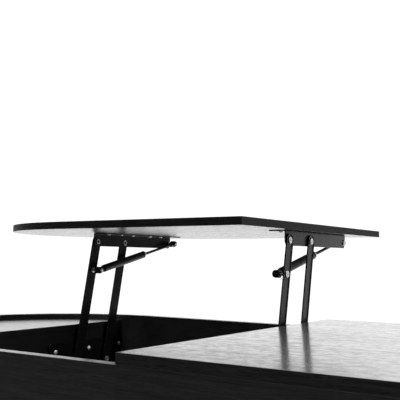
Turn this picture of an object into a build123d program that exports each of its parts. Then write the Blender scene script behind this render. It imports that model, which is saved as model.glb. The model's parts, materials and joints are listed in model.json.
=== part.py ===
"""Lift top coffee table: a pill-shaped body in black oak whose end half of the top swings up and forward.

The frame: +X runs along the table towards the lifting half, -Y is the side where a person sits, +Z is up.
The origin is on the floor, at the middle of the body. The top is drawn raised, on its open stop.
"""
import os
from math import atan2, cos, degrees, hypot, radians, sin

from build123d import *

# ---- driving dimensions, in mm and degrees ----
length = 1385
width = 600
height = 400
panel = 16              # thickness of the body panels
top_thickness = 14
rest_gap = 0.5          # between the closed lift top and the rim
split_gap = 1           # from the split line to the end of each half of the top
edge_break = 0.6        # rounding of the worked edges

plinth_height = 50
plinth_inset = 60
glide_height = 6
glide_radius = 8
glide_setback = 30      # from the ends of the long rails
board = 12              # thickness of the floor boards
batten_width = 20
batten_height = 30
block_size = (24, 60)   # the blocks under the tray, out from the shell and along it
block_height = 24
storage_depth = 173     # from the rim down to the storage floor
tray_depth = 11         # from the rim down to the tray
tray_face = 472         # face of the tray partition, on the storage side

link_length = 250       # pivot to pivot
link_width = 23.5
link_spacing = 87
link_thickness = 3
link_rib = 1.3          # width of the raised border round a link's outer face
link_recess = 1.6       # depth of the pressed channel inside that border
open_lean = 11.5        # past upright, towards the sitter
swing = 85              # from the open stop to closed
rear_pivot = (-130, 298)        # lower pivot of the rear link, as (Y, Z)

plate = 2.5             # thickness of the base plate
sheet = 2               # thickness of the upper bracket
bracket_length = 266
bracket_height = 27
bracket_lead = 12       # the bracket runs this far behind the rear pivot
bracket_corner = 6      # cut off the bracket's low corners
flange_corner = 4       # cut off the corners of its flange
flange_width = 34
flange_screw_layer = 31    # from the wall that carries the linkage
flange_screw_steps = (23, 63, 103, 163, 203)   # from the rear end of the bracket
pin_radius = 4
pin_clearance = 0.05
loose_clearance = 0.25  # at the upper front pivot, where the linkage is opened
head_radius = 6.2
head_height = 2
bolt_head_height = 2.4
head_break = 0.8        # chamfer round the pivot and stud heads
spacer_radius = 8
flare_radius = 5.3      # of the rivets' closed ends, inside the bracket
flare_height = 1.4
flare_bore = 2.9

screw_radius = 2
screw_bite = 9.5        # length of a screw inside the wood
pilot_radius = 2.05
screw_hole_radius = 2.3
base_head = (4.4, 1.9)      # radius and height of the base plate's screw heads
flange_head = (4.2, 1.8)    # radius and height of the flange's screw heads

tube_radius = 7.5
tube_wall = 1.2
tube_length = 140
rod_radius = 3
piston_gap = 0.2
piston_height = 8
stud_neck_radius = 2.5
collar_radius = 5.6
collar_height = 2.5
ball_radius = 5
ball_clearance = 0.1
socket_radius = 7
socket_neck = 13        # from the ball's middle to the end of the tube
neck_radius = 4.8
mouth_radius = 4
socket_depth = 14       # of the cup, from its mouth to its closed end
socket_mouth = 6        # from the ball's middle to the mouth
lower_ball_drop = 60    # along the rear link, from its upper pivot
upper_ball_lead = 248   # ahead of the rear upper pivot
upper_ball_rise = 1

# ---- layers of the linkage, as distances from the wall that carries it ----
link_start = 6.1
link_web = link_start + link_recess
link_end = link_start + link_thickness
spacer_end = link_web - 0.1
washer_start = link_end + 0.1
bracket_start = 10.0
bracket_end = bracket_start + sheet
spring_layer = 26.0
rivet_start = link_web - head_height - 0.1
stud_gap = 0.3

# ---- worked out from the above ----
end_radius = width / 2
straight = length - width
inner_length = length - 2 * panel
inner_width = width - 2 * panel
rim = height - top_thickness
floor_top = rim - storage_depth
tray_top = rim - tray_depth
board_top = plinth_height + panel
divider_face = panel / 2
tray_middle = (divider_face + tray_face) / 2

closed_angle = 90 + open_lean - swing
lift = link_length * (cos(radians(open_lean)) - sin(radians(closed_angle)))
reach = link_length * (sin(radians(open_lean)) + cos(radians(closed_angle)))
closed_underside = rim + rest_gap
raised_underside = closed_underside + lift

front_pivot = (rear_pivot[0] - link_spacing, rear_pivot[1])
lean = (-sin(radians(open_lean)), cos(radians(open_lean)))


def along_link(pivot, distance):
    """A point on a link, measured up from its lower pivot."""
    return pivot[0] + distance * lean[0], pivot[1] + distance * lean[1]


rear_upper = along_link(rear_pivot, link_length)
front_upper = along_link(front_pivot, link_length)
lower_ball = along_link(rear_pivot, link_length - lower_ball_drop)
upper_ball = (rear_upper[0] - upper_ball_lead, rear_upper[1] + upper_ball_rise)
spring_length = hypot(upper_ball[0] - lower_ball[0], upper_ball[1] - lower_ball[1])
spring_way = ((upper_ball[0] - lower_ball[0]) / spring_length,
              (upper_ball[1] - lower_ball[1]) / spring_length)

bracket_rear = rear_upper[0] + bracket_lead
bracket_middle = bracket_rear - bracket_length / 2
base_screws = [(-74, 325), (-168.5, 325), (-263, 325)]
base_plate_box = (-272, -57, 276, 342)          # Y from and to, Z from and to
flange_screws = [(bracket_rear - step, flange_screw_layer) for step in flange_screw_steps]

wall = Plane(origin=(divider_face, 0, 0), x_dir=(0, 1, 0), z_dir=(1, 0, 0))
twin_plane = Plane(origin=(tray_middle, 0, 0), z_dir=(1, 0, 0))

os.makedirs("parts", exist_ok=True)


def save(piece, name):
    """Label a finished piece and write it to its own file."""
    piece.part.label = name
    export_step(piece.part, f"parts/{name}.step")


def save_pair(piece, name):
    """Write a linkage piece at the centre divider and its mirror image at the tray partition."""
    save(piece, f"{name}_centre")
    with BuildPart() as twin:
        mirror(piece.part, about=twin_plane)
    save(twin, f"{name}_end")


def keep_between(x_from, x_to):
    """Trim the open sketch to a band of the table's length."""
    with Locations(((x_from + x_to) / 2, 0)):
        Rectangle(x_to - x_from, width + 10, mode=Mode.INTERSECT)


def add_discs(start, thickness, centres, radius, mode=Mode.ADD):
    """Add a round boss at each centre, on a layer of the linkage."""
    with BuildSketch(wall.offset(start)) as discs:
        with Locations(*centres):
            Circle(radius)
    extrude(discs.sketch, amount=thickness, mode=mode)


def cut_discs(start, thickness, centres, radius):
    """Cut a round hole at each centre, through a layer of the linkage."""
    add_discs(start, thickness, centres, radius, Mode.SUBTRACT)


# ---- body panels ----
def long_panel(side):
    """The straight panel on one long side of the body."""
    with BuildPart() as straight_panel:
        with BuildSketch(Plane.XY.offset(plinth_height)):
            with Locations((0, side * (end_radius - panel / 2))):
                Rectangle(straight, panel)
        extrude(amount=rim - plinth_height)
    return straight_panel


save(long_panel(1), "rear_panel")
save(long_panel(-1), "front_panel")


def end_shell(side):
    """The bent half-round shell at one end of the body."""
    with BuildPart() as shell:
        with BuildSketch(Plane.XY.offset(plinth_height)):
            SlotOverall(length, width)
            SlotOverall(inner_length, inner_width, mode=Mode.SUBTRACT)
            keep_between(*sorted((side * straight / 2, side * length)))
        extrude(amount=rim - plinth_height)
    return shell


save(end_shell(1), "lift_end_shell")
save(end_shell(-1), "fixed_end_shell")

with BuildPart() as base_board:
    with BuildSketch(Plane.XY.offset(plinth_height)):
        SlotOverall(inner_length, inner_width)
    extrude(amount=panel)
save(base_board, "base_board")


def cross_panel(x_from, x_to, z_from, z_to):
    """An upright board across the inside of the body."""
    with BuildPart() as upright:
        with BuildSketch(Plane.XY.offset(z_from)):
            SlotOverall(inner_length, inner_width)
            keep_between(x_from, x_to)
        extrude(amount=z_to - z_from)
    return upright


tray_partition = cross_panel(tray_face, tray_face + panel, board_top, tray_top - board)
centre_divider = cross_panel(-divider_face, divider_face, board_top, rim)
with centre_divider:
    cut_discs(-screw_bite - 0.5, screw_bite + 0.5, base_screws, pilot_radius)
with BuildPart() as screw_holes:
    add_discs(-screw_bite - 0.5, screw_bite + 0.5, base_screws, pilot_radius)
with tray_partition:
    mirror(screw_holes.part, about=twin_plane, mode=Mode.SUBTRACT)
save(centre_divider, "centre_divider")
save(tray_partition, "tray_partition")
save(cross_panel(-straight / 2 - panel / 2, -straight / 2 + panel / 2, board_top, rim), "end_bulkhead")

with BuildPart() as storage_floor:
    with BuildSketch(Plane.XY.offset(floor_top - board)):
        SlotOverall(inner_length, inner_width)
        keep_between(divider_face, tray_face)
    extrude(amount=board)
save(storage_floor, "storage_floor")

with BuildPart() as floor_battens:
    batten_line = (inner_width - batten_width) / 2
    with BuildSketch(Plane.XY.offset(floor_top - board - batten_height)):
        with Locations((200, batten_line), (200, -batten_line)):
            Rectangle(360, batten_width)
    extrude(amount=batten_height)
save(floor_battens, "floor_battens")

with BuildPart() as tray_floor:
    with BuildSketch(Plane.XY.offset(tray_top - board)):
        SlotOverall(inner_length, inner_width)
        keep_between(tray_face, length)
    extrude(amount=board)
save(tray_floor, "tray_floor")

with BuildPart() as tray_blocks:
    with BuildSketch(Plane.XY.offset(tray_top - board - block_height)):
        with Locations((straight / 2, 0)):
            with PolarLocations(inner_width / 2 - 8, 3, start_angle=-55, angular_range=110, endpoint=True):
                Rectangle(*block_size)
        SlotOverall(inner_length, inner_width, mode=Mode.INTERSECT)
    extrude(amount=block_height)
save(tray_blocks, "tray_blocks")

# ---- plinth ----
plinth_length = length - 2 * plinth_inset
plinth_width = width - 2 * plinth_inset
plinth_inner_width = plinth_width - 2 * panel
plinth_inner_length = plinth_length - 2 * panel
rail_height = plinth_height - glide_height
rail_line = plinth_width / 2 - panel / 2


def plinth_rail(side):
    """The straight plinth rail along one long side."""
    with BuildPart() as rail:
        with BuildSketch(Plane.XY.offset(glide_height)):
            with Locations((0, side * rail_line)):
                Rectangle(straight, panel)
        extrude(amount=rail_height)
    return rail


def plinth_end(side):
    """The bent plinth rail round one end."""
    with BuildPart() as bow:
        with BuildSketch(Plane.XY.offset(glide_height)):
            SlotOverall(plinth_length, plinth_width)
            SlotOverall(plinth_inner_length, plinth_inner_width, mode=Mode.SUBTRACT)
            keep_between(*sorted((side * straight / 2, side * length)))
        extrude(amount=rail_height)
    return bow


save(plinth_rail(1), "plinth_rear_rail")
save(plinth_rail(-1), "plinth_front_rail")
save(plinth_end(1), "plinth_lift_end")
save(plinth_end(-1), "plinth_fixed_end")

with BuildPart() as plinth_cross_rail:
    with BuildSketch(Plane.XY.offset(glide_height)):
        Rectangle(panel, plinth_inner_width)
    extrude(amount=rail_height)
save(plinth_cross_rail, "plinth_cross_rail")

with BuildPart() as floor_glides:
    end_line = straight / 2 + rail_line
    with BuildSketch(Plane.XY):
        with Locations((0, 0), (end_line, 0), (-end_line, 0)):
            Circle(glide_radius)
        with GridLocations(straight - 2 * glide_setback, 2 * rail_line, 2, 2):
            Circle(glide_radius)
    extrude(amount=glide_height)
save(floor_glides, "floor_glides")

# ---- the two halves of the top ----
with BuildPart() as fixed_top:
    with BuildSketch(Plane.XY.offset(rim)):
        SlotOverall(length, width)
        keep_between(-length, -split_gap)
    extrude(amount=top_thickness)
    chamfer(fixed_top.faces().sort_by(Axis.Z)[-1].edges(), edge_break)
save(fixed_top, "fixed_top")

raised = Plane(origin=(0, -reach, raised_underside))
with BuildPart() as lift_top:
    with BuildSketch(raised):
        SlotOverall(length, width)
        keep_between(split_gap, length)
    extrude(amount=top_thickness - rest_gap)
    chamfer(lift_top.faces().sort_by(Axis.Z)[-1].edges(), edge_break)
    chamfer(lift_top.faces().sort_by(Axis.Z)[0].edges(), edge_break)
    with BuildSketch(Plane.XY.offset(raised_underside)):
        for y, layer in flange_screws:
            with Locations((divider_face + layer, y), (tray_face - layer, y)):
                Circle(pilot_radius)
    extrude(amount=screw_bite + 0.5, mode=Mode.SUBTRACT)
save(lift_top, "lift_top")

# ---- linkage: base plate, links and upper bracket ----
y_from, y_to, z_from, z_to = base_plate_box
with BuildPart() as base_plate:
    with BuildSketch(wall):
        with Locations(((y_from + y_to) / 2, (z_from + z_to) / 2)):
            RectangleRounded(y_to - y_from, z_to - z_from, 8)
    extrude(amount=plate)
    cut_discs(0, plate, base_screws, screw_hole_radius)
    cut_discs(0, plate, [rear_pivot, front_pivot], pin_radius + pin_clearance)
save_pair(base_plate, "base_plate")

with BuildPart() as base_screw_set:
    add_discs(-screw_bite, screw_bite + plate, base_screws, screw_radius)
    add_discs(plate, base_head[1], base_screws, base_head[0])
    chamfer(base_screw_set.faces().sort_by(Axis.X)[-3:].edges(), 1.1)
save_pair(base_screw_set, "base_screws")

with BuildPart() as lower_spacers:
    add_discs(plate, spacer_end - plate, [rear_pivot, front_pivot], spacer_radius)
    cut_discs(plate, spacer_end - plate, [rear_pivot, front_pivot], pin_radius + pin_clearance)
save_pair(lower_spacers, "lower_spacers")

with BuildPart() as lower_pivots:
    add_discs(0, washer_start, [rear_pivot, front_pivot], pin_radius)
    add_discs(washer_start, head_height, [rear_pivot, front_pivot], head_radius)
    chamfer(lower_pivots.faces().sort_by(Axis.X)[-2:].edges(), head_break)
save_pair(lower_pivots, "lower_pivots")


def link_bar(lower, upper, upper_hole):
    """A pressed link with round ends, a shallow channel towards the wall and a hole at each pivot."""
    with BuildPart() as bar:
        with BuildSketch(wall.offset(link_start)):
            with Locations(((lower[0] + upper[0]) / 2, (lower[1] + upper[1]) / 2)):
                SlotCenterToCenter(link_length, link_width, rotation=90 + open_lean)
        extrude(amount=link_thickness)
        chamfer(bar.faces().filter_by(Axis.X).edges(), 0.4)
        with BuildSketch(wall.offset(link_start)):
            with Locations(((lower[0] + upper[0]) / 2, (lower[1] + upper[1]) / 2)):
                SlotCenterToCenter(link_length, link_width - 2 * link_rib, rotation=90 + open_lean)
        extrude(amount=link_recess, mode=Mode.SUBTRACT)
        cut_discs(link_start, link_thickness, [lower], pin_radius + pin_clearance)
        cut_discs(link_start, link_thickness, [upper], upper_hole)
    return bar


rear_link = link_bar(rear_pivot, rear_upper, pin_radius + pin_clearance)
with rear_link:
    cut_discs(link_start, link_thickness, [lower_ball], pin_radius + pin_clearance)
save_pair(rear_link, "rear_link")
save_pair(link_bar(front_pivot, front_upper, pin_radius + loose_clearance), "front_link")

with BuildPart() as upper_washers:
    add_discs(washer_start, bracket_start - washer_start, [rear_upper, front_upper], spacer_radius)
    cut_discs(washer_start, bracket_start - washer_start, [rear_upper, front_upper],
              pin_radius + pin_clearance)
save_pair(upper_washers, "upper_washers")

with BuildPart() as upper_bracket:
    with BuildSketch(wall.offset(bracket_start)):
        with Locations((bracket_middle, raised_underside - bracket_height / 2)):
            Rectangle(bracket_length, bracket_height)
    extrude(amount=sheet)
    low_corners = upper_bracket.edges().filter_by(Axis.X).sort_by(Axis.Z)[:2]
    chamfer(low_corners, bracket_corner)
    with BuildSketch(Plane.XY.offset(raised_underside - sheet)):
        with Locations((divider_face + bracket_start + flange_width / 2, bracket_middle)):
            Rectangle(flange_width, bracket_length + 4)
    extrude(amount=sheet)
    inner_corners = upper_bracket.edges().filter_by(Axis.Z).sort_by(Axis.X)[-2:]
    chamfer(inner_corners, flange_corner)
    cut_discs(bracket_start, sheet, [rear_upper, front_upper, upper_ball], pin_radius + pin_clearance)
    with BuildSketch(Plane.XY.offset(raised_underside - sheet)):
        with Locations(*[(divider_face + layer, y) for y, layer in flange_screws]):
            Circle(screw_hole_radius)
    extrude(amount=sheet, mode=Mode.SUBTRACT)
save_pair(upper_bracket, "upper_bracket")

with BuildPart() as upper_pivots:
    shank_start = rivet_start + head_height
    add_discs(rivet_start, head_height, [rear_upper, front_upper], head_radius)
    chamfer(upper_pivots.faces().sort_by(Axis.X)[:2].edges(), head_break)
    add_discs(shank_start, bracket_end - shank_start, [rear_upper, front_upper], pin_radius)
    add_discs(bracket_end, flare_height, [rear_upper, front_upper], flare_radius)
    cut_discs(bracket_end - sheet, sheet + flare_height, [rear_upper, front_upper], flare_bore)
save_pair(upper_pivots, "upper_pivots")

with BuildPart() as flange_screw_set:
    spots = [(divider_face + layer, y) for y, layer in flange_screws]
    with BuildSketch(Plane.XY.offset(raised_underside - sheet)):
        with Locations(*spots):
            Circle(screw_radius)
    extrude(amount=sheet + screw_bite)
    with BuildSketch(Plane.XY.offset(raised_underside - sheet)):
        with Locations(*spots):
            Circle(flange_head[0])
    extrude(amount=-flange_head[1])
    chamfer(flange_screw_set.faces().sort_by(Axis.Z)[:5].edges(), 1.0)
save_pair(flange_screw_set, "flange_screws")

# ---- gas spring ----
spring_x = divider_face + spring_layer
spring_start = (spring_x, *lower_ball)
spring_axis = Axis(spring_start, (0, *spring_way))
spring_plane = Plane(origin=spring_start, x_dir=(0, *spring_way), z_dir=(1, 0, 0))
tube_end = socket_neck + tube_length
bore_radius = tube_radius - tube_wall
piston_radius = bore_radius - piston_gap


def add_turned(profile):
    """Add a solid turned about the spring's axis, from points given as (distance, radius)."""
    with BuildSketch(spring_plane) as section:
        with BuildLine():
            Polyline(*profile, close=True)
        make_face()
    revolve(section.sketch, axis=spring_axis)


with BuildPart() as gas_tube:
    add_turned([
        (socket_neck, 0), (socket_neck, bore_radius), (socket_neck + tube_wall, tube_radius),
        (tube_end - 7.5, tube_radius), (tube_end - 6.5, tube_radius - 0.9), (tube_end - 5, tube_radius - 0.9),
        (tube_end - 4, tube_radius), (tube_end - 1.4, tube_radius), (tube_end, piston_radius),
        (tube_end, rod_radius + pin_clearance), (tube_end - 10, rod_radius + pin_clearance),
        (tube_end - 10, bore_radius), (socket_neck + 5, bore_radius), (socket_neck + 5, 0),
    ])
save_pair(gas_tube, "gas_tube")

with BuildPart() as gas_rod:
    piston_start = tube_end - 20
    rod_end = spring_length - socket_neck
    add_turned([
        (piston_start, 0), (piston_start, piston_radius), (piston_start + piston_height, piston_radius),
        (piston_start + piston_height, rod_radius), (rod_end, rod_radius), (rod_end, 0),
    ])
save_pair(gas_rod, "gas_rod")


def ball_socket(centre, way):
    """A moulded socket over a ball stud, with a neck towards the spring."""
    middle = (spring_x, *centre)
    neck = Plane(origin=middle, x_dir=(1, 0, 0), z_dir=(0, *way))
    with BuildPart() as socket:
        add_discs(spring_layer - socket_mouth, socket_depth, [centre], socket_radius)
        chamfer(socket.faces().filter_by(Axis.X).edges(), head_break)
        with BuildSketch(neck):
            Circle(neck_radius)
        extrude(amount=socket_neck)
        cut_discs(spring_layer - socket_mouth, socket_mouth, [centre], mouth_radius)
        cut_discs(spring_layer - 4.5, 9.7, [centre], ball_radius + ball_clearance)
    return socket


save_pair(ball_socket(lower_ball, spring_way), "lower_socket")
save_pair(ball_socket(upper_ball, (-spring_way[0], -spring_way[1])), "upper_socket")


def add_ball_stud(centre, collar_start):
    """Add the collar, neck and ball of a stud that stands out from a collar."""
    with BuildSketch(wall.offset(collar_start)) as collar:
        with Locations(centre):
            RegularPolygon(collar_radius, 6)
    extrude(collar.sketch, amount=collar_height)
    neck_start = collar_start + collar_height
    add_discs(neck_start, spring_layer - neck_start, [centre], stud_neck_radius)
    with Locations((spring_x, *centre)):
        Sphere(ball_radius)


with BuildPart() as lower_stud:
    add_discs(rivet_start, link_web - rivet_start, [lower_ball], head_radius)
    chamfer(lower_stud.faces().sort_by(Axis.X)[0].edges(), head_break)
    add_discs(link_web, link_end - link_web, [lower_ball], pin_radius)
    add_ball_stud(lower_ball, link_end)
save_pair(lower_stud, "lower_stud")

with BuildPart() as upper_stud:
    add_ball_stud(upper_ball, bracket_end + stud_gap)
save_pair(upper_stud, "upper_stud")

with BuildPart() as stud_bolt:
    add_discs(bracket_start - bolt_head_height, bolt_head_height, [upper_ball], head_radius)
    chamfer(stud_bolt.faces().sort_by(Axis.X)[0].edges(), head_break)
    add_discs(bracket_start, sheet, [upper_ball], pin_radius)
save_pair(stud_bolt, "stud_bolt")

# ---- the linkage's motion, for the record ----
closed_way = (cos(radians(closed_angle)), sin(radians(closed_angle)))
closed_spring = (upper_ball_lead - lower_ball_drop * closed_way[0],
                 lower_ball_drop * closed_way[1] + upper_ball_rise)
open_tilt = degrees(atan2(spring_way[1], -spring_way[0]))
closed_tilt = degrees(atan2(closed_spring[1], closed_spring[0]))
print("reach and lift of the top:", round(reach, 3), round(lift, 3))
print("lower pivots:", rear_pivot, front_pivot)
print("upper pivots:", rear_upper, front_upper)
print("spring balls:", lower_ball, upper_ball)
print("spring way:", spring_way, "length open and closed:", spring_length, hypot(*closed_spring))
print("spring tilt open and closed:", open_tilt, closed_tilt)
print("top underside and top raised:", raised_underside, raised_underside + top_thickness - rest_gap)
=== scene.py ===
"""The looks of a lift top coffee table: black oak, black powder-coated linkages and bright fasteners."""

import json
from math import cos, pi, radians, sin

import bmesh
import bpy
from mathutils import Matrix, Vector


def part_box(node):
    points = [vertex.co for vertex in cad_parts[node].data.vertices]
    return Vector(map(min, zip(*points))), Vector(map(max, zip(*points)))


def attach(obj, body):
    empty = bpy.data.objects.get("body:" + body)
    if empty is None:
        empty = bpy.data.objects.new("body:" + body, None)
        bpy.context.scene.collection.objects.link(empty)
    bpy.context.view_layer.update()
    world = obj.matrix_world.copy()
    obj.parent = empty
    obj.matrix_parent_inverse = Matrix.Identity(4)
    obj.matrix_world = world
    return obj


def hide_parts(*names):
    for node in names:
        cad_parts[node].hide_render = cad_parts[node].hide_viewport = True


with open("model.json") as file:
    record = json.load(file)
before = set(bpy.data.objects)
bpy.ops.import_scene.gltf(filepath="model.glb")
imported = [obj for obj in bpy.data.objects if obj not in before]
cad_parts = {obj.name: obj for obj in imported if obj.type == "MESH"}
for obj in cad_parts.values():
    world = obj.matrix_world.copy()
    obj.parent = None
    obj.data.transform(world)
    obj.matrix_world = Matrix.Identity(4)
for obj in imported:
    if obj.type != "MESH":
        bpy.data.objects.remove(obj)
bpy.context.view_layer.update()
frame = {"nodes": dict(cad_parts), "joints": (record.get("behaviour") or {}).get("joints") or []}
MM = 0.001

# ---- places read from the frame ----
joints = {joint["name"]: joint for joint in frame["joints"]}
rear_pivot = Vector(joints["lift"]["pos_m"])
front_pivot = Vector(joints["front_link_swing"]["pos_m"])
rear_upper = Vector(joints["top_level"]["pos_m"])
front_upper = rear_upper + front_pivot - rear_pivot
lower_ball = Vector(joints["spring_swivel"]["pos_m"])
upper_ball = sum(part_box("stud_bolt_centre"), Vector()) / 2
spring_way = Vector(joints["spring_stroke"]["axis"])

body_low, body_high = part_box("fixed_end_shell")
end_radius = (body_high.y - body_low.y) / 2
straight = -2 * body_high.x                     # length of the straight sides
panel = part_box("rear_panel")[1].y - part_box("rear_panel")[0].y
rim = body_high.z
divider_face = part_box("centre_divider")[1].x
tray_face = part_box("tray_partition")[0].x
twin_line = (divider_face + tray_face) / 2      # the two linkages mirror each other across it

# ---- the same for every piece ----
wood_break = 0.6 * MM                           # width of the softened wood edges
smooth_angle = radians(32)                      # faces that meet at less than this are shaded as one curve
wall_sides = 256                                # of the circle that a wall round the body is drawn from
disc_sides = 192                                # of the circle that a board's round end is drawn from


# ---- modelling by hand ----
def deselect():
    bpy.ops.object.select_all(action="DESELECT")


def only(piece):
    """Select one piece and nothing else."""
    deselect()
    piece.select_set(True)
    bpy.context.view_layer.objects.active = piece


def named(name):
    """Name the piece that was just added and hand it over, with only it selected."""
    piece = bpy.context.object
    piece.name = piece.data.name = name
    only(piece)
    return piece


def fix_place(piece):
    """Put a piece's place, turn and scale into its mesh."""
    only(piece)
    bpy.ops.object.transform_apply(location=True, rotation=True, scale=True)


class editing:
    """Edit mode on one piece, as in: with editing(link) as at_work."""

    def __init__(self, piece):
        self.piece = piece

    def __enter__(self):
        only(self.piece)
        bpy.ops.object.mode_set(mode="EDIT")
        return self

    def __exit__(self, *failure):
        bpy.ops.object.mode_set(mode="OBJECT")

    def pick(self, kind, test):
        """Select only the verts, edges or faces that pass the test."""
        bpy.ops.mesh.select_mode(type={"verts": "VERT", "edges": "EDGE", "faces": "FACE"}[kind])
        bpy.ops.mesh.select_all(action="DESELECT")
        mesh = bmesh.from_edit_mesh(self.piece.data)
        for part in getattr(mesh, kind):
            if test(part):
                part.select_set(True)
        mesh.select_flush_mode()
        bmesh.update_edit_mesh(self.piece.data)

    def extrude(self, x=0, z=0):
        bpy.ops.mesh.extrude_region_move(TRANSFORM_OT_translate={"value": (x, 0, z)})

    def move(self, x=0, z=0):
        bpy.ops.transform.translate(value=(x, 0, z))

    def widen(self, share, centre):
        """Scale what is selected across the Z axis."""
        bpy.ops.transform.resize(value=(share, share, 1), center_override=centre)

    def tidy(self):
        """Merge doubles and turn every face outwards."""
        bpy.ops.mesh.select_mode(type="FACE")
        bpy.ops.mesh.select_all(action="SELECT")
        bpy.ops.mesh.remove_doubles(threshold=1e-6)
        bpy.ops.mesh.normals_make_consistent(inside=False)


def modify(piece, kind, **settings):
    """Add a modifier and apply it."""
    only(piece)
    modifier = piece.modifiers.new(kind.title(), kind)
    for key, value in settings.items():
        setattr(modifier, key, value)
    bpy.ops.object.modifier_apply(modifier=modifier.name)


def ease(piece, width, angle):
    """Round the edges of a piece that are sharper than an angle in degrees."""
    modify(piece, "BEVEL", width=width, segments=2, limit_method="ANGLE", angle_limit=radians(angle))


def shade(piece):
    """Shade a piece smooth, with its large faces kept flat."""
    only(piece)
    bpy.ops.object.shade_smooth_by_angle(angle=smooth_angle)
    modify(piece, "WEIGHTED_NORMAL", keep_sharp=True, weight=70)


def soften(wood):
    """Round the sharp edges of a wooden piece, then shade it."""
    ease(wood, wood_break, 35)
    shade(wood)


def combine(piece, other, operation):
    """Add another closed shape to a piece, or cut it away, and remove it."""
    modify(piece, "BOOLEAN", operation=operation, object=other, solver="EXACT")
    bpy.data.objects.remove(other)


def settle(piece, material, body, *nodes, slot):
    """Fix a piece's place in its mesh, dress it, and let it ride on its body in place of its CAD nodes."""
    fix_place(piece)
    piece.data.materials.clear()
    piece.data.materials.append(material)
    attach(piece, body)
    if nodes:
        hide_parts(*nodes)


def face_with(piece, material, test):
    """Give the faces of a board that pass the test a finish of their own."""
    piece.data.materials.append(material)
    for face in piece.data.polygons:
        if test(face):
            face.material_index = len(piece.data.materials) - 1


def is_edge(face):
    return abs(face.normal.z) < 0.5


def is_underside(face):
    return face.normal.z < -0.5


def is_upper(face):
    return face.normal.z > 0.5


def is_inner(face):
    """Whether a face of the body's wall looks into the body."""
    centre = face.center
    spine_x = max(-straight / 2, min(straight / 2, centre.x))
    return is_edge(face) and face.normal.dot(centre - Vector((spine_x, 0, centre.z))) < 0


def copy_of(piece, name):
    """A copy of a piece with its own mesh."""
    twin = piece.copy()
    twin.data = piece.data.copy()
    twin.name = twin.data.name = name
    bpy.context.scene.collection.objects.link(twin)
    return twin


def flip_across(piece, middle_x):
    """Mirror a piece across a plane that stands across X."""
    with editing(piece) as at_work:
        bpy.ops.mesh.select_all(action="SELECT")
        bpy.ops.transform.resize(value=(-1, 1, 1), center_override=(middle_x, 0, 0))
        at_work.tidy()


def joined(pieces, name):
    """Several pieces made one object."""
    deselect()
    for piece in pieces:
        piece.select_set(True)
    bpy.context.view_layer.objects.active = pieces[0]
    bpy.ops.object.join()
    return named(name)


def stand(piece, place, way):
    """Turn a piece that was made up the Z axis so that it points along way, at its place."""
    turn = Vector(way).to_track_quat("Z", "Y").to_matrix().to_4x4()
    piece.matrix_world = Matrix.Translation(place) @ turn
    fix_place(piece)
    return piece


def copies_at(name, pattern, places, way):
    """Copies of one pattern at each place, pointing along way, as one piece."""
    copies = [stand(copy_of(pattern, name), place, way) for place in places]
    bpy.data.objects.remove(pattern)
    return joined(copies, name)


def turned(name, rings, sides=48):
    """A turned piece up the Z axis, from (height, radius) pairs in millimetres.

    Each ring is extruded from the one before.
    """
    (height, radius), *others = rings
    bpy.ops.mesh.primitive_circle_add(vertices=sides, radius=radius * MM, fill_type="NGON",
                                      location=(0, 0, height * MM))
    piece = named(name)
    fix_place(piece)
    with editing(piece) as at_work:
        bpy.ops.mesh.select_all(action="SELECT")
        for next_height, next_radius in others:
            at_work.extrude(z=(next_height - height) * MM)
            at_work.widen(next_radius / radius, (0, 0, next_height * MM))
            height, radius = next_height, next_radius
        at_work.tidy()
    return piece


def half_pill(name, node, radius, x_from):
    """A board with one round end, as thick as a CAD node.

    It is half a disc of the given radius, with its straight edge drawn back to x_from.
    """
    low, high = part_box(node)
    bpy.ops.mesh.primitive_circle_add(vertices=disc_sides, radius=radius, fill_type="NGON",
                                      location=(straight / 2, (low.y + high.y) / 2, low.z))
    piece = named(name)
    fix_place(piece)
    cut = max(x_from, straight / 2)
    with editing(piece) as at_work:
        bpy.ops.mesh.select_all(action="SELECT")
        bpy.ops.mesh.bisect(plane_co=(cut, 0, 0), plane_no=(1, 0, 0), clear_inner=True)
        if x_from < cut:
            at_work.pick("edges", lambda e: all(abs(v.co.x - cut) < 1e-6 for v in e.verts))
            at_work.extrude(x=x_from - cut)
        bpy.ops.mesh.select_all(action="SELECT")
        at_work.extrude(z=high.z - low.z)
        at_work.tidy()
    return piece


def pill_ring(name, radius, z_from, z_to):
    """An upright wall as thick as a panel, round a pill-shaped plan with ends of the given radius."""
    bpy.ops.mesh.primitive_circle_add(vertices=wall_sides, radius=radius, fill_type="NOTHING",
                                      location=(0, 0, z_from))
    piece = named(name)
    fix_place(piece)
    piece.data.transform(Matrix.Rotation(pi / wall_sides, 4, "Z"))
    with editing(piece) as at_work:
        for side in (1, -1):
            at_work.pick("verts", lambda v: v.co.x * side > 0)
            at_work.move(x=side * straight / 2)
        bpy.ops.mesh.select_mode(type="EDGE")
        bpy.ops.mesh.select_all(action="SELECT")
        at_work.extrude(z=z_to - z_from)
        bpy.ops.mesh.select_all(action="SELECT")
        bpy.ops.mesh.normals_make_consistent(inside=False)
    modify(piece, "SOLIDIFY", thickness=panel, offset=-1)
    return piece


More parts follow.
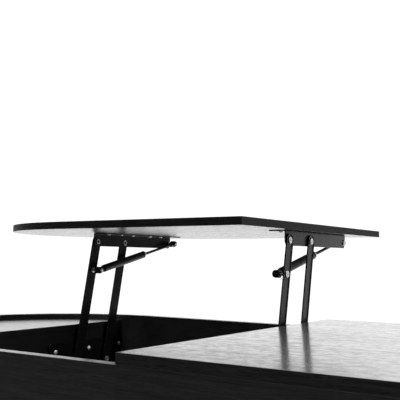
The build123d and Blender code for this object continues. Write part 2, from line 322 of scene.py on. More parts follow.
# ---- finishes ----
class Signal:
    """A socket inside a finish. Plain arithmetic on signals adds the Math nodes for it."""

    def __init__(self, finish, socket):
        self.finish, self.socket = finish, socket

    def maths(self, operation, *values):
        return self.finish.node("ShaderNodeMath", {"operation": operation}, dict(enumerate(values)))

    def __add__(self, other):
        return self.maths("ADD", self, other)

    def __sub__(self, other):
        return self.maths("SUBTRACT", self, other)

    def __rsub__(self, other):
        return self.maths("SUBTRACT", other, self)

    def __mul__(self, other):
        return self.maths("MULTIPLY", self, other)

    def __pow__(self, power):
        return self.maths("POWER", self, power)

    def __abs__(self):
        return self.maths("ABSOLUTE", self)

    def __gt__(self, other):
        return self.maths("GREATER_THAN", self, other)

    __radd__ = __add__
    __rmul__ = __mul__

    def smooth(self, low, high):
        """0 below low, 1 above high, and a soft step between them."""
        return self.finish.node("ShaderNodeMapRange", {"interpolation_type": "SMOOTHSTEP"},
                                {"Value": self, "From Min": low, "From Max": high})


class Finish:
    """A material and its nodes."""

    def __init__(self, name):
        self.material = bpy.data.materials.new(name)
        self.material.use_nodes = True
        self.tree = self.material.node_tree
        self.shader = self.tree.nodes["Principled BSDF"]

    def node(self, kind, settings, sockets, output=0):
        """Add a node, set what it is, then feed its sockets with values or signals."""
        made = self.tree.nodes.new(kind)
        for key, value in settings.items():
            setattr(made, key, value)
        for key, value in sockets.items():
            self.feed(made.inputs[key], value)
        return Signal(self, made.outputs[output])

    def feed(self, socket, value):
        if isinstance(value, Signal):
            self.tree.links.new(value.socket, socket)
        else:
            socket.default_value = value

    def place(self, output="Object"):
        """The point on the piece, or its normal, as three signals."""
        point = self.node("ShaderNodeTexCoord", {}, {}, output)
        return [self.node("ShaderNodeSeparateXYZ", {}, {0: point}, axis) for axis in range(3)]

    def noise(self, x, y, z, detail=3, roughness=0.55):
        point = self.node("ShaderNodeCombineXYZ", {}, {0: x, 1: y, 2: z})
        return self.node("ShaderNodeTexNoise", {}, {"Vector": point, "Scale": 1.0, "Detail": detail,
                                                    "Roughness": roughness})

    def blend(self, share, first, second):
        """Mix two colours."""
        return self.node("ShaderNodeMix", {"data_type": "RGBA"}, {0: share, 6: first, 7: second}, 2)

    def dress(self, varying, fixed=None, relief=None, depth=0.1 * MM):
        """Feed the shader: what varies over the surface, what is the same all over, and the relief."""
        for key, value in (fixed or {}).items():
            self.shader.inputs[key].default_value = value
        for key, value in varying.items():
            self.feed(self.shader.inputs[key], value)
        if relief:
            bump = self.node("ShaderNodeBump", {}, {"Height": relief, "Distance": depth})
            self.feed(self.shader.inputs["Normal"], bump)
        return self.material


def grey(value):
    return (value, value, value, 1)


def girth(x, y):
    """The way along the veneer as it wraps round the pill-shaped body, in metres."""
    maths = x.maths
    rear = y > 0
    along = maths("MINIMUM", maths("MAXIMUM", x, -straight / 2), straight / 2)
    lift_turn = maths("ARCTAN2", maths("MAXIMUM", x - straight / 2, 0), y * -1)
    fixed_turn = maths("ARCTAN2", maths("MAXIMUM", x * -1 - straight / 2, 0), abs(y))
    flip = 1 - 2 * rear
    return along * flip + straight * rear + lift_turn * end_radius - fixed_turn * flip * end_radius


def oak_figure(finish, along, across, depth):
    """The scales of oak grain: broad figure, streaks a few millimetres wide, fine fibres and pores."""
    sway = finish.noise(along * 2.2, across * 5, depth * 5, detail=2) * 0.02
    across = across + sway
    figure = finish.noise(along * 3.2, across * 30, depth * 30, detail=5, roughness=0.65).smooth(0.32, 0.68)
    streak = finish.noise(along * 6, across * 150, depth * 150, detail=3).smooth(0.32, 0.68)
    fibre = finish.noise(along * 22, across * 560, depth * 560, detail=2).smooth(0.3, 0.7)
    pores = finish.noise(along * 80, across * 1300, depth * 1300, detail=1).smooth(0.58, 0.66)
    return figure, streak, fibre, pores * (0.3 + 0.7 * figure)


def worn_edges(finish):
    """1 on the softened edges round a board's faces, where the stain has rubbed thin."""
    steep = abs(finish.place("Normal")[2])
    return (steep * (1 - steep) * 4).smooth(0.35, 0.9)


def satin_oak(name, seed=0.0, gloss=0.13, lacquer_share=0.16):
    """Black-stained open-grain oak under satin lacquer. A lower gloss value is shinier."""
    finish = Finish(name)
    x, y, z = finish.place()
    figure, streak, fibre, pore = oak_figure(finish, x + seed, y, z)
    worn = worn_edges(finish)
    stain = finish.blend(0.4 * fibre + 0.3 * streak + 0.3 * figure, grey(0.003), grey(0.022))
    stain = finish.blend(pore * 0.7, stain, grey(0.002))
    stain = finish.blend(worn * 0.3, stain, grey(0.05))
    fleck = finish.noise((x + seed) * 60, y * 75, z * 75, detail=5, roughness=0.7).smooth(0.4, 0.6)
    film = lacquer_share + 0.07 * figure + 0.05 * streak + 0.17 * fleck + 0.08 * fibre - 0.25 * pore
    sheen = gloss + 0.05 * (1 - figure) + 0.04 * (1 - fleck) + 0.05 * streak + 0.25 * pore
    return finish.dress({"Base Color": stain, "Roughness": sheen, "Coat Weight": film},
                        {"Specular IOR Level": 0.5, "Coat Roughness": gloss},
                        fibre * 0.4 + streak * 0.6 - pore, depth=0.012 * MM)


def matt_oak(name, wrapped=False, specular=0.25, gloss=0.3, seed=0.0):
    """The same oak veneer with hardly any lacquer, as on the edges of the tops and round the body."""
    finish = Finish(name)
    x, y, z = finish.place()
    along, across, depth = (girth(x, y), z, 0.0) if wrapped else (x, y, z)
    figure, streak, fibre, pore = oak_figure(finish, along + seed, across, depth)
    worn = worn_edges(finish)
    stain = finish.blend(0.45 * fibre + 0.35 * streak + 0.2 * figure, grey(0.003), grey(0.02))
    stain = finish.blend(pore * 0.8, stain, grey(0.001))
    stain = finish.blend(worn * 0.35, stain, grey(0.06))
    sheen = gloss + 0.1 * streak + 0.06 * fibre + 0.2 * pore - 0.05 * worn
    return finish.dress({"Base Color": stain, "Roughness": sheen}, {"Specular IOR Level": specular},
                        fibre * 0.35 + streak * 0.35 - pore * 0.9, depth=0.05 * MM)


def board(name, tone=0.004, specular=0.22):
    """Black melamine-faced board for the inside of the body."""
    finish = Finish(name)
    x, y, z = finish.place()
    cloud = finish.noise(x * 14, y * 14, z * 14, detail=4)
    grain = finish.noise(x * 30, y * 420, z * 420, detail=2)
    speck = finish.noise(x * 900, y * 900, z * 900, detail=1).smooth(0.66, 0.74)
    stain = finish.blend((0.5 * cloud + 0.5 * grain).smooth(0.3, 0.7), grey(tone * 0.5), grey(tone * 1.5))
    stain = finish.blend(speck * 0.2, stain, grey(0.02))
    return finish.dress({"Base Color": stain, "Roughness": 0.3 + 0.12 * cloud + 0.08 * grain},
                        {"Specular IOR Level": specular}, grain * 0.5 + cloud * 0.3, depth=0.02 * MM)


def lacquer(name):
    """Matt black lacquer on the recessed plinth, dusty towards the floor."""
    finish = Finish(name)
    x, y, z = finish.place()
    peel = finish.noise(x * 260, y * 260, z * 260, detail=2)
    scuff = finish.noise(x * 9, y * 9, z * 60, detail=5)
    dust = (1 - z * 22).smooth(0.1, 1.0) * scuff.smooth(0.35, 0.75)
    paint = finish.blend(dust * 0.4, grey(0.010), grey(0.045))
    return finish.dress({"Base Color": paint, "Roughness": 0.5 + 0.12 * scuff + 0.15 * dust},
                        {"Specular IOR Level": 0.4}, peel, depth=0.03 * MM)


def powder_coat(name, tone=0.004):
    """Black powder coat on pressed steel: fine orange peel, a little rubbed in places."""
    finish = Finish(name)
    x, y, z = finish.place()
    peel = finish.noise(x * 1300, y * 1300, z * 1300, detail=2)
    cloud = finish.noise(x * 40, y * 40, z * 40, detail=4)
    rub = finish.noise(x * 420, y * 60, z * 60, detail=3).smooth(0.62, 0.75)
    paint = finish.blend(cloud.smooth(0.3, 0.7), grey(tone * 0.8), grey(tone * 1.25))
    paint = finish.blend(rub * 0.25, paint, grey(0.04))
    return finish.dress({"Base Color": paint, "Roughness": 0.2 + 0.1 * cloud - 0.06 * rub},
                        {"Specular IOR Level": 0.38}, peel, depth=0.025 * MM)


def enamel(name):
    """Semi-gloss black enamel of the gas spring tubes."""
    finish = Finish(name)
    x, y, z = finish.place()
    cloud = finish.noise(x * 70, y * 70, z * 70, detail=3)
    scratch = finish.noise(x * 900, y * 50, z * 900, detail=2).smooth(0.64, 0.7)
    paint = finish.blend(scratch * 0.35, grey(0.006), grey(0.04))
    return finish.dress({"Base Color": paint, "Roughness": 0.34 + 0.16 * cloud + 0.15 * scratch},
                        {"Specular IOR Level": 0.3}, cloud, depth=0.02 * MM)


def nylon(name, tone=0.008, gloss=0.2):
    """Moulded black nylon with a fine sparked texture."""
    finish = Finish(name)
    x, y, z = finish.place()
    spark = finish.noise(x * 2600, y * 2600, z * 2600, detail=2)
    flow = finish.noise(x * 120, y * 120, z * 120, detail=3)
    plastic = finish.blend(flow.smooth(0.3, 0.7), grey(tone * 0.8), grey(tone * 1.5))
    return finish.dress({"Base Color": plastic, "Roughness": gloss + 0.12 * flow},
                        {"Specular IOR Level": 0.5}, spark, depth=0.03 * MM)


def zinc(name, tone=0.85, gloss=0.24):
    """Bright zinc plate, clouded and very slightly pitted."""
    finish = Finish(name)
    x, y, z = finish.place()
    cloud = finish.noise(x * 380, y * 380, z * 380, detail=4)
    drag = finish.noise(x * 300, y * 2400, z * 2400, detail=2)
    plate = finish.blend(cloud.smooth(0.3, 0.72), grey(tone * 0.72), grey(tone * 1.12))
    return finish.dress({"Base Color": plate, "Roughness": gloss + 0.14 * cloud + 0.1 * drag},
                        {"Metallic": 1.0}, drag * 0.5 + cloud * 0.5, depth=0.02 * MM)


top_oak = satin_oak("black_oak_fixed_top")
lift_oak = satin_oak("black_oak_lift_top", seed=3.0)
tray_oak = satin_oak("black_oak_tray", seed=11.0, gloss=0.3, lacquer_share=0.8)
rim_oak = satin_oak("black_oak_rim", seed=13.0, gloss=0.24)
wrap_oak = matt_oak("black_oak_sides", wrapped=True, specular=0.2, seed=7.0)
edge_oak = matt_oak("black_oak_edge_band", specular=0.1, gloss=0.5, seed=5.0)
under_oak = satin_oak("black_oak_underside", seed=9.0, gloss=0.22)
inner_board = board("black_board")
# a lighter copy of the black board for the inner faces of the body's wall: its higher tone is painted light
wall_board_painted_light = board("black_wall_board", tone=0.016, specular=0.35)
plinth_paint = lacquer("plinth_lacquer")
coat = powder_coat("black_powder_coat")
# a darker copy of the powder coat for the base plate: its lower tone is painted shade
plate_coat_painted_shade = powder_coat("black_plate_coat", tone=0.003)
tube_paint = enamel("spring_enamel")
rod_finish = powder_coat("black_nitrided_rod", tone=0.005)
socket_plastic = nylon("socket_nylon")
glide_plastic = nylon("glide_nylon", tone=0.05, gloss=0.4)
bright_zinc = zinc("bright_zinc")
# a brighter, rougher copy of the zinc for the wall screws: its higher tone is painted highlight, while its
# roughness is the plate's own
dull_zinc = zinc("dull_zinc", tone=0.95, gloss=0.42)

# ---- camera, studio and floor ----
heading = radians(213.84)                      # the way the camera looks, turned from +Y


def viewpoint():
    """The camera, behind the table at its fixed end and a little above it, looking slightly up."""
    eye = Vector((-0.5423, 0.9347, 0.5069))
    pitch, roll = radians(4.84), radians(0.55)
    bpy.ops.object.camera_add()
    camera = bpy.context.object
    camera.name = "camera"
    camera.data.sensor_width = 36
    camera.data.lens = 63.77
    camera.data.clip_start = 0.05
    camera.matrix_world = (Matrix.Translation(eye) @ Matrix.Rotation(heading, 4, "Z")
                           @ Matrix.Rotation(pi / 2 + pitch, 4, "X") @ Matrix.Rotation(roll, 4, "Z"))
    bpy.context.scene.camera = camera


def towards_light(x, y):
    """How far a point or a direction lies towards the lit side of the studio, beyond the table."""
    return x * -sin(heading) + y * cos(heading)


class Backdrop(Finish):
    """The studio's surroundings, made with the same nodes as a finish."""

    def __init__(self, world):
        world.use_nodes = True
        self.tree = world.node_tree
        self.shader = self.tree.nodes["Background"]


def studio():
    """Bright surroundings beyond the table, dark ones behind the camera, and plain white where it looks."""
    world = bpy.data.worlds.new("studio")
    bpy.context.scene.world = world
    backdrop = Backdrop(world)
    x, y, z = backdrop.place("Generated")
    glow = towards_light(x, y).smooth(0.2, 0.9)
    overhead = z.smooth(0.55, 0.95)
    brightness = 0.03 + 1.38 * glow * (1 - 0.6 * overhead) + 0.2 * overhead
    seen_directly = backdrop.node("ShaderNodeLightPath", {}, {}, "Is Camera Ray")
    strength = brightness * (1 - seen_directly) + 1.1 * seen_directly
    backdrop.feed(backdrop.shader.inputs["Strength"], strength)
    backdrop.shader.inputs["Color"].default_value = grey(1.0)


def pale_floor():
    """A pale round floor that fades out into the backdrop. Its colour and glow are painted light and shade:
    it glows and is paler towards the lit side, and is darker towards the camera.
    """
    bpy.ops.mesh.primitive_circle_add(vertices=96, radius=3.4, fill_type="NGON", location=(0, -0.1, 0))
    floor = named("floor")
    pale = Finish("pale_floor")
    x, y, z = pale.place()
    away = (x * x + y * y) ** 0.5
    clear = pale.node("ShaderNodeBsdfTransparent", {}, {})
    mixed = pale.node("ShaderNodeMixShader", {}, {0: away.smooth(1.7, 3.3),
                                                  1: Signal(pale, pale.shader.outputs[0]), 2: clear})
    pale.feed(pale.tree.nodes["Material Output"].inputs["Surface"], mixed)
    # painted light and shade: the floor's colour pales and its painted glow rises towards the lit side
    painted_light_side = towards_light(x, y).smooth(-0.5, 0.7)
    pale.dress({"Base Color": pale.blend(painted_light_side, grey(0.6), grey(0.86)),
                "Emission Color": pale.blend(painted_light_side, grey(0.0), grey(1.0))},
               {"Roughness": 0.7, "Specular IOR Level": 0.2, "Emission Strength": 0.65})
    floor.data.materials.append(pale.material)


def softbox(name, place, target, size, power):
    """A large soft light pointed at a place."""
    bpy.ops.object.light_add(type="AREA", location=place)
    light = bpy.context.object
    light.name = name
    light.data.shape = "SQUARE"
    light.data.size = size
    light.data.energy = power
    light.rotation_euler = (Vector(target) - Vector(place)).to_track_quat("-Z", "Y").to_euler()
    deselect()


bpy.context.scene.view_settings.view_transform = "Standard"
bpy.context.scene.view_settings.look = "None"
viewpoint()
studio()
pale_floor()
softbox("overhead_softbox", (0.3, -0.6, 2.6), (0, 0, 0.3), size=2.4, power=30)
softbox("side_softbox", (-1.9, -0.85, 1.12), (0.3, -0.1, 0.35), size=0.6, power=30)
softbox("fill_softbox", (0.4, 3.0, 2.2), (0.2, 0, 0.3), size=1.4, power=38)


# ---- wood ----
def body_wrap():
    """The veneered wall all round the body: both straight panels and both bent ends."""
    wall = pill_ring("body_wrap", end_radius, body_low.z, rim)
    soften(wall)
    settle(wall, wrap_oak, "carcass", "rear_panel", "front_panel", "lift_end_shell", "fixed_end_shell",
           slot="black_oak")
    face_with(wall, rim_oak, is_upper)
    # the inner faces take the lighter board, whose tone is painted light
    face_with(wall, wall_board_painted_light, is_inner)


def lift_top_board():
    """The lifting half of the top, in its raised place."""
    panel_top = half_pill("lift_top_board", "lift_top", end_radius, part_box("lift_top")[0].x)
    soften(panel_top)
    settle(panel_top, lift_oak, "lift_top", "lift_top", slot="black_oak")
    face_with(panel_top, edge_oak, is_edge)
    face_with(panel_top, under_oak, is_underside)


def fixed_top_board():
    """The fixed half of the top, with its round end the other way."""
    panel_top = half_pill("fixed_top_board", "fixed_top", end_radius, -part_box("fixed_top")[1].x)
    flip_across(panel_top, 0)
    soften(panel_top)
    settle(panel_top, top_oak, "carcass", "fixed_top", slot="black_oak")
    face_with(panel_top, edge_oak, is_edge)


def tray_board():
    """The shallow tray's floor, in the round end under the lift top."""
    tray = half_pill("tray_board", "tray_floor", end_radius - panel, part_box("tray_floor")[0].x)
    soften(tray)
    settle(tray, tray_oak, "carcass", "tray_floor", slot="black_board")
    face_with(tray, inner_board, is_edge)


def plinth_ring():
    """The recessed plinth."""
    low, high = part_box("plinth_fixed_end")
    plinth = pill_ring("plinth_ring", (high.y - low.y) / 2, low.z, high.z)
    soften(plinth)
    settle(plinth, plinth_paint, "carcass", "plinth_rear_rail", "plinth_front_rail", "plinth_lift_end",
           "plinth_fixed_end", slot="plinth_lacquer")


def finish_node(node, material):
    """Give a CAD node that stays in view its finish."""
    materials = frame["nodes"][node].data.materials
    materials.clear()
    materials.append(material)


def floor_glides():
    """Seven moulded glides: in the middle, under both round ends, and near the straight rails' ends."""
    setback = 30 * MM
    plinth_low, plinth_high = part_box("plinth_fixed_end")
    rail_line = (plinth_high.y - plinth_low.y - panel) / 2
    end_line = straight / 2 + rail_line
    corner_line = straight / 2 - setback
    spots = [(0, 0, 0), (end_line, 0, 0), (-end_line, 0, 0)]
    spots += [(side_x * corner_line, side_y * rail_line, 0) for side_x in (1, -1) for side_y in (1, -1)]
    low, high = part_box("floor_glides")
    pattern = turned("pattern", [(0, 5.5), (0.5, 7), (1.6, 8), ((high.z - low.z) / MM, 8)], sides=32)
    glides = copies_at("glides", pattern, spots, (0, 0, 1))
    bpy.ops.object.shade_smooth_by_angle(angle=smooth_angle)
    settle(glides, glide_plastic, "carcass", "floor_glides", slot="glide_nylon")


body_wrap()
lift_top_board()
fixed_top_board()
tray_board()
plinth_ring()
for node in ("centre_divider", "tray_partition", "end_bulkhead", "storage_floor", "floor_battens",
             "base_board", "tray_blocks"):
    finish_node(node, inner_board)
finish_node("plinth_cross_rail", plinth_paint)
floor_glides()

# ---- linkage: every piece is made on the centre divider, then mirrored onto the tray partition ----
INWARDS = (1, 0, 0)                             # from the divider into the storage compartment
sheet = 2 * MM                                  # thickness of the bracket's steel
rivet_head, rivet_shank = 6.2, 4                # radii of the rivets, pins and bolts, in millimetres
lower_pivots = (rear_pivot, front_pivot)
upper_pivots = (rear_upper, front_upper)


def span(node):
    """Where a linkage piece starts and where it ends, along X."""
    low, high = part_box(node)
    return low.x, high.x


def at_x(x, points):
    """The same points of the linkage, at one place along X."""
    return [(x, point.y, point.z) for point in points]


def fit_pair(piece, material, body, node, slot):
    """Settle a linkage piece in place of a CAD node, if there is one, and its mirror image likewise."""
    twin = copy_of(piece, f"{piece.name}_end")
    flip_across(twin, twin_line)
    piece.name = piece.data.name = f"{piece.name}_centre"
    for made, side in ((piece, "centre"), (twin, "end")):
        nodes = [f"{node}_{side}"] if node else []
        shade(made)
        settle(made, material, body, *nodes, slot=slot)


def link_bar(name, node, lower, upper):
    """A pressed link: a round-ended bar with a shallow channel towards the wall."""
    half_width, rib, channel_slope, recess = 11.75 * MM, 1.3 * MM, 0.5 * MM, 1.6 * MM
    sides = 64
    start, end = span(node)
    way = upper - lower
    bpy.ops.mesh.primitive_circle_add(vertices=sides, radius=half_width, fill_type="NGON",
                                      location=(0, 0, 0))
    bar = named(name)
    bar.data.transform(Matrix.Rotation(pi / sides, 4, "Z"))
    with editing(bar) as at_work:
        at_work.pick("verts", lambda v: v.co.x > 0)
        at_work.move(x=way.length)
        bpy.ops.mesh.select_mode(type="FACE")
        bpy.ops.mesh.select_all(action="SELECT")
        at_work.extrude(z=end - start)
        at_work.pick("faces", lambda f: f.calc_center_median().z < 1e-6 and abs(f.normal.z) > 0.9)
        bpy.ops.mesh.inset(thickness=rib, depth=0)
        bpy.ops.mesh.inset(thickness=channel_slope, depth=0)
        at_work.move(z=recess)
        at_work.tidy()
    # the bar's own X runs up the link, and its own Z runs inwards from the wall
    up = way.normalized()
    turn = Matrix((up, Vector(INWARDS).cross(up), Vector(INWARDS))).transposed().to_4x4()
    bar.matrix_world = Matrix.Translation((start, lower.y, lower.z)) @ turn
    fix_place(bar)
    ease(bar, 0.35 * MM, 40)
    return bar


def upright_sheet(name, node, trim=0):
    """A rectangle on the wall side of a CAD node, facing inwards and shorter along Y by the trim."""
    low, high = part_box(node)
    centre = (low + high) / 2
    bpy.ops.mesh.primitive_plane_add(size=1, location=(low.x, centre.y, centre.z), rotation=(0, pi / 2, 0))
    upright = named(name)
    upright.scale = (high.z - low.z, high.y - low.y - trim, 1)
    fix_place(upright)
    return upright


def wall_plate():
    """The base plate on the wall, with rounded corners and eased edges."""
    corner = 8 * MM
    start, end = span("base_plate_centre")
    plate = upright_sheet("wall_plate", "base_plate_centre")
    with editing(plate) as at_work:
        bpy.ops.mesh.select_all(action="SELECT")
        bpy.ops.mesh.bevel(offset=corner, segments=8, affect="VERTICES")
        bpy.ops.mesh.select_all(action="SELECT")
        at_work.extrude(x=end - start)
        at_work.tidy()
    ease(plate, 0.4 * MM, 40)
    return plate


def angle_bracket():
    """The upper bracket: sheet bent inwards at the top, with cut lower corners and a rounded flange."""
    low_corner, flange_corner, bend_radius, end_trim = 6 * MM, 4 * MM, 2.6 * MM, 4 * MM
    low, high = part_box("upper_bracket_centre")
    bracket = upright_sheet("angle_bracket", "upper_bracket_centre", end_trim)
    with editing(bracket) as at_work:
        at_work.pick("verts", lambda v: v.co.z < (low.z + high.z) / 2)
        bpy.ops.mesh.bevel(offset=low_corner, segments=1, affect="VERTICES")
        at_work.pick("edges", lambda e: all(v.co.z > high.z - MM for v in e.verts))
        at_work.extrude(x=high.x - low.x)
        at_work.pick("verts", lambda v: v.co.x > high.x - MM)
        bpy.ops.mesh.bevel(offset=flange_corner, segments=3, affect="VERTICES")
        at_work.pick("edges", lambda e: all(v.co.z > high.z - MM and v.co.x < low.x + MM for v in e.verts))
        bpy.ops.mesh.bevel(offset=bend_radius, segments=5, affect="EDGES")
        at_work.tidy()
        # the flange has to face up, because the sheet thickens away from the side that it faces
        faces = bmesh.from_edit_mesh(bracket.data).faces
        flange = next(face for face in faces if abs(face.normal.z) > 0.9)
        if flange.normal.z < 0:
            bpy.ops.mesh.select_all(action="SELECT")
            bpy.ops.mesh.flip_normals()
    modify(bracket, "SOLIDIFY", thickness=sheet, offset=-1, use_even_offset=True)
    ease(bracket, 0.3 * MM, 50)
    return bracket


fit_pair(link_bar("rear_bar", "rear_link_centre", rear_pivot, rear_upper), coat, "rear_links", "rear_link",
         "black_steel")
fit_pair(link_bar("front_bar", "front_link_centre", front_pivot, front_upper), coat, "front_links",
         "front_link", "black_steel")
# the base plate takes the darker coat, whose tone is painted shade
fit_pair(wall_plate(), plate_coat_painted_shade, "carcass", "base_plate", "black_steel")
fit_pair(angle_bracket(), coat, "lift_top", "upper_bracket", "black_steel")


# ---- fasteners ----
def cross_head(head_radius, head_height):
    """A pan head screw up the Z axis with a cross recess, in millimetres: the seat of its head is at 0."""
    shank_radius, shank_length, point_length = 2, 11, 2
    blade_length, blade_width, blade_height = head_radius * 1.15, head_radius * 0.24, head_height * 1.3
    recess_floor, recess_taper = head_height * 0.35, 0.55
    screw = turned("pattern", [
        (-shank_length, shank_radius * 0.3), (point_length - shank_length, shank_radius),
        (-0.02, shank_radius), (0, head_radius), (recess_floor, head_radius),
        (head_height * 0.72, head_radius * 0.9), (head_height * 0.92, head_radius * 0.72),
        (head_height, head_radius * 0.45)], sides=40)
    for turn in (0, pi / 2):
        bpy.ops.mesh.primitive_cube_add(size=1, location=(0, 0, head_height * MM), rotation=(0, 0, turn))
        blade = named("blade")
        blade.scale = (blade_length * MM, blade_width * MM, blade_height * MM)
        fix_place(blade)
        with editing(blade) as at_work:
            at_work.pick("faces", lambda f: f.normal.z < -0.9)
            at_work.widen(recess_taper, (0, 0, recess_floor * MM))
        combine(screw, blade, "DIFFERENCE")
    return screw


def solid_middles(node):
    """The middle of each separate solid in a CAD node, found from its loose vertices."""
    mesh = bmesh.new()
    mesh.from_mesh(frame["nodes"][node].data)
    bmesh.ops.remove_doubles(mesh, verts=mesh.verts, dist=1e-7)
    spots, seen = [], set()
    for start in mesh.verts:
        if start in seen:
            continue
        group, waiting = [], [start]
        while waiting:
            vertex = waiting.pop()
            if vertex not in seen:
                seen.add(vertex)
                group.append(vertex.co.copy())
                waiting += [link.other_vert(vertex) for link in vertex.link_edges]
        low = Vector(min(point[axis] for point in group) for axis in range(3))
        high = Vector(max(point[axis] for point in group) for axis in range(3))
        spots.append((low + high) / 2)
    mesh.free()
    return sorted(spots, key=lambda spot: spot.y)


def wall_screws():
    """The screws that hold the base plate to its wall."""
    plate_face = span("base_plate_centre")[1]
    spots = at_x(plate_face, solid_middles("base_screws_centre"))
    return copies_at("wall_screws", cross_head(4.4, 1.9), spots, INWARDS)


def top_screws():
    """The screws up through the bracket's flange into the lift top."""
    flange_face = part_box("upper_bracket_centre")[1].z - sheet
    spots = [(spot.x, spot.y, flange_face) for spot in solid_middles("flange_screws_centre")]
    return copies_at("top_screws", cross_head(4.2, 1.8), spots, (0, 0, -1))


def lower_rivets():
    """The lower pivots: shouldered pins with flat heads on the inner side."""
    start, end = span("lower_pivots_centre")
    reach = (end - start) / MM
    pattern = turned("pattern", [
        (0, rivet_shank), (reach - 2, rivet_shank), (reach - 1.99, rivet_head), (reach - 0.7, rivet_head),
        (reach - 0.1, 5.6), (reach, 4.6), (reach, 2.4), (reach - 0.8, 1.9)])
    return copies_at("lower_rivets", pattern, at_x(start, lower_pivots), INWARDS)


def upper_rivets():
    """The upper pivots: tubular rivets, a flat disc on the wall side and a flared ring on the other."""
    start, end = span("upper_pivots_centre")
    reach = (end - start) / MM
    pattern = turned("pattern", [
        (0.75, 0.9), (0.75, 1.5), (0.05, 1.9), (0, 4.9), (0.15, 5.7), (0.8, rivet_head), (1.9, rivet_head),
        (2, rivet_shank), (reach - 1.4, rivet_shank), (reach - 1.39, 5.3), (reach - 0.5, 5.2), (reach, 4.5),
        (reach - 0.1, 3.6), (reach - 1.1, 2.9), (reach - 3.4, 2.8)])
    return copies_at("upper_rivets", pattern, at_x(start, upper_pivots), INWARDS)


def nylon_rings(name, node, pivots):
    """The spacers or washers round a link's pivots, with eased rims."""
    radius = 8
    start, end = span(node)
    thickness = (end - start) / MM
    rim_break = thickness * 0.15
    pattern = turned("pattern", [(0, radius - rim_break), (rim_break, radius),
                                 (thickness - rim_break, radius), (thickness, radius - rim_break)])
    return copies_at(name, pattern, at_x(start, pivots), INWARDS)


def stud_bolt_head():
    """The bolt behind the upper ball stud: a flat head on the wall side of the bracket."""
    start, end = span("stud_bolt_centre")
    reach = (end - start) / MM
    bolt = turned("stud_bolt_head", [
        (0.7, 1.2), (0.7, 1.9), (0, 2.2), (0, 4.9), (0.2, 5.8), (0.8, rivet_head), (2.3, rivet_head),
        (2.4, rivet_shank), (reach, rivet_shank)])
    return stand(bolt, (start, upper_ball.y, upper_ball.z), INWARDS)


# the wall screws take the brighter zinc, whose higher tone is painted highlight
fit_pair(wall_screws(), dull_zinc, "carcass", "base_screws", "zinc_steel")
fit_pair(top_screws(), bright_zinc, "lift_top", "flange_screws", "zinc_steel")
fit_pair(lower_rivets(), bright_zinc, "carcass", "lower_pivots", "zinc_steel")
fit_pair(upper_rivets(), bright_zinc, "lift_top", "upper_pivots", "zinc_steel")
fit_pair(nylon_rings("lower_spacer_rings", "lower_spacers_centre", lower_pivots), socket_plastic,
         "carcass", "lower_spacers", "spacer_nylon")
fit_pair(nylon_rings("upper_washer_rings", "upper_washers_centre", upper_pivots), socket_plastic,
         "lift_top", "upper_washers", "spacer_nylon")
fit_pair(stud_bolt_head(), bright_zinc, "lift_top", "stud_bolt", "zinc_steel")

# ---- gas springs: heights are in millimetres up the spring from its lower ball ----
spring_x = sum(span("gas_tube_centre")) / 2
low_end = Vector((spring_x, lower_ball.y, lower_ball.z))
high_end = Vector((spring_x, upper_ball.y, upper_ball.z))
spring_length = (high_end - low_end).length / MM
neck = 13                                       # from a ball to the end of its socket's neck
tube_length = 140
tube_end = neck + tube_length
tube_radius, band_radius, rod_radius, ball_radius, stud_neck = 7.5, 7.65, 3, 5, 2.5
collar_height = 2.5                             # of the hexagon collar under a ball


def spring_tube():
    """The tube, with a rolled end, a rolled groove near the rod and a seal round it."""
    tube = turned("spring_tube", [
        (neck, 5.2), (neck + 0.3, 6.4), (neck + 1.4, 7.3), (neck + 2.4, tube_radius),
        (tube_end - 8.2, tube_radius), (tube_end - 7.2, 6.75), (tube_end - 6.2, 6.5),
        (tube_end - 5.2, 6.75), (tube_end - 4.4, tube_radius), (tube_end - 1.8, tube_radius),
        (tube_end - 0.6, 7), (tube_end, 6), (tube_end - 0.05, 5.2), (tube_end - 0.6, 5),
        (tube_end - 0.6, 3.3), (tube_end - 3, 3.06)], sides=64)
    return stand(tube, low_end, spring_way)


def spring_collar():
    """The bright band round the rod end of the tube."""
    collar = turned("spring_collar", [
        (tube_end - 4.6, tube_radius), (tube_end - 4.4, band_radius), (tube_end - 1.8, band_radius),
        (tube_end - 0.5, 7.1), (tube_end + 0.1, 6)], sides=64)
    return stand(collar, low_end, spring_way)


def spring_rod():
    """The rod, from inside the tube to the neck of the upper socket."""
    rod = turned("spring_rod", [(tube_end - 18, 2.6), (tube_end - 17, rod_radius),
                                (spring_length - neck - 3, rod_radius), (spring_length - neck, 2.7)])
    return stand(rod, low_end, spring_way)


def ball_socket(name, place, way):
    """A moulded cup over a ball, closed on the inner side, with a ribbed neck towards the spring."""
    cup = turned(name, [(-6, 4.3), (-6, 6.3), (-5.2, 7), (4.2, 7), (4.6, 6.3), (5.4, 6.3), (6.8, 5.8),
                        (7.7, 4.6), (8, 3)], sides=56)
    stand(cup, place, INWARDS)
    stem = turned("stem", [(4, 4.8), (8.6, 4.8), (8.9, 5.4), (10.4, 5.4), (10.7, 4.8), (neck, 4.8)])
    combine(cup, stand(stem, place, way), "UNION")
    cavity = turned("cavity", [(-7, 4), (-4.5, 4), (-4.49, 5.1), (5, 5.1)])
    combine(cup, stand(cavity, place, INWARDS), "DIFFERENCE")
    ease(cup, 0.25 * MM, 45)
    return cup


def button(name, place):
    """The bright domed rivet in the closed end of a ball socket."""
    dome = turned(name, [(6.4, 3.2), (8.2, 3.2), (8.6, 2.6), (8.8, 1.4)], sides=32)
    return stand(dome, place, INWARDS)


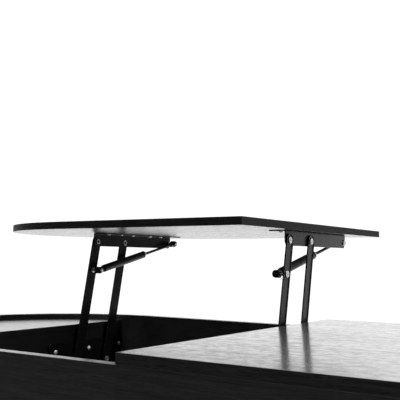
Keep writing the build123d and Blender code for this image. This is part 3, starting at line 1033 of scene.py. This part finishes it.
def ball_stud(name, place, collar_start, foot=None):
    """A ball on a short neck that stands on a hexagon collar; foot gives the rings under the collar."""
    neck_start = (collar_start - spring_x) / MM + collar_height
    latitudes = [radians(degrees) for degrees in range(-58, 90, 8)]
    ball = [(ball_radius * sin(latitude), ball_radius * cos(latitude)) for latitude in latitudes]
    collar = turned("collar", [(0, 5.2), (0.3, 5.6), (collar_height - 0.3, 5.6), (collar_height, 5)],
                    sides=6)
    under_ball = (collar_start, place.y, place.z)
    stem = turned(name, [(neck_start, stud_neck)] + ball, sides=40)
    parts = [stand(stem, place, INWARDS), stand(collar, under_ball, INWARDS)]
    if foot:
        parts.append(stand(turned("foot", foot), under_ball, INWARDS))
    return joined(parts, name)


def link_stud():
    """The lower ball stud, with its flat head on the wall side of the rear link."""
    collar_start = span("rear_link_centre")[1]
    head = (span("lower_stud_centre")[0] - collar_start) / MM
    foot = [(head + 0.7, 1.2), (head + 0.7, 2), (head, 2.3), (head, 4.9), (head + 0.2, 5.8),
            (head + 0.8, rivet_head), (head + 2, rivet_head), (head + 2.1, rivet_shank), (0, rivet_shank)]
    return ball_stud("link_stud", low_end, collar_start, foot)


fit_pair(spring_tube(), tube_paint, "gas_tubes", "gas_tube", "spring_paint")
fit_pair(spring_collar(), bright_zinc, "gas_tubes", None, "zinc_steel")
fit_pair(spring_rod(), rod_finish, "gas_rods", "gas_rod", "rod_black")
fit_pair(ball_socket("tube_socket", low_end, spring_way), socket_plastic, "gas_tubes", "lower_socket",
         "socket_nylon")
fit_pair(ball_socket("rod_socket", high_end, -spring_way), socket_plastic, "gas_rods", "upper_socket",
         "socket_nylon")
fit_pair(button("tube_socket_rivet", low_end), bright_zinc, "gas_tubes", None, "zinc_steel")
fit_pair(button("rod_socket_rivet", high_end), bright_zinc, "gas_rods", None, "zinc_steel")
fit_pair(link_stud(), bright_zinc, "rear_links", "lower_stud", "zinc_steel")
fit_pair(ball_stud("rod_stud", high_end, span("upper_stud_centre")[0]), bright_zinc, "gas_rods",
         "upper_stud", "zinc_steel")
